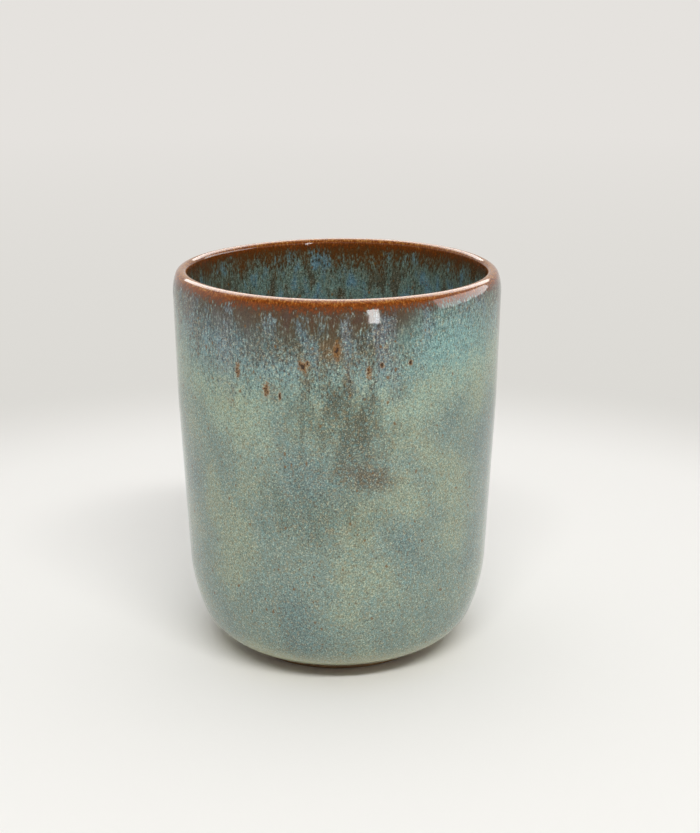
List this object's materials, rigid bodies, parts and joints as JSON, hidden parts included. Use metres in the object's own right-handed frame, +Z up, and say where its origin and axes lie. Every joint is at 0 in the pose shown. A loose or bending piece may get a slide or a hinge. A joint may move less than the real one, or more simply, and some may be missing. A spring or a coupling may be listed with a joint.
{
  "type": "handleless tea cup",
  "caption": "Tall handleless stoneware tea cup with a rounded lip and heel, a trimmed foot ring, a glazed hollow inside and a rim glaze that runs down the wall.",
  "frame": {"origin": "on the cup's axis, in the plane of the table that the foot ring stands on", "axes": "+Z up along the cup's axis, +X to the right and +Y away from the viewer in the picture"},
  "size_m": [0.082, 0.082, 0.0985],
  "materials": {
    "bare_stoneware": "bare, fired to a matt surface",
    "liner_glaze": "gloss",
    "outer_glaze": "gloss",
    "rim_glaze": "gloss"
  },
  "bodies": {
    "root": {"stoneware_body": "bare_stoneware", "liner_glaze": "liner_glaze", "outer_glaze": "outer_glaze", "rim_glaze": "rim_glaze"}
  },
  "joints": []
}
